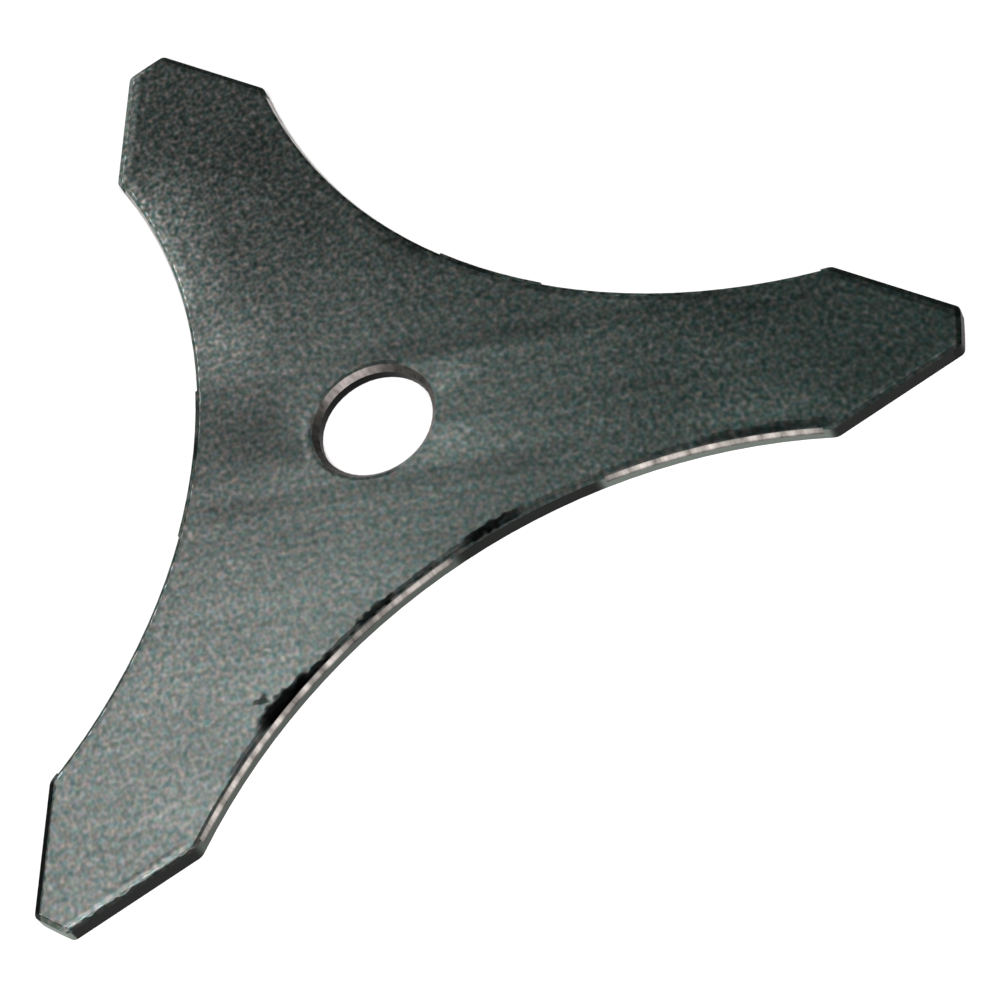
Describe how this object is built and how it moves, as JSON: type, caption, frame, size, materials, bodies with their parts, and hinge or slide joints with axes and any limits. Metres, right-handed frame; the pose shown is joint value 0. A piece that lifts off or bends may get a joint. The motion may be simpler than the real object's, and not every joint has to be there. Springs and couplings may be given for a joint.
{
  "type": "brush cutter blade",
  "caption": "Flat steel brush cutter blade with pointed teeth, hollow curved flanks ground as cutting edges, and a round arbor bore in the middle.",
  "frame": {"origin": "centre of the arbor bore at the blade's underside", "axes": "+Z along the arbor bore, out of the countersunk top face; +X along the middle of one tooth"},
  "size_m": [0.1914, 0.2204, 0.0035],
  "materials": {
    "blade_steel": "hardened steel plate, dark oxide scale, bare metal on the ground edges"
  },
  "bodies": {
    "root": {"blade": "blade_steel"}
  },
  "joints": []
}
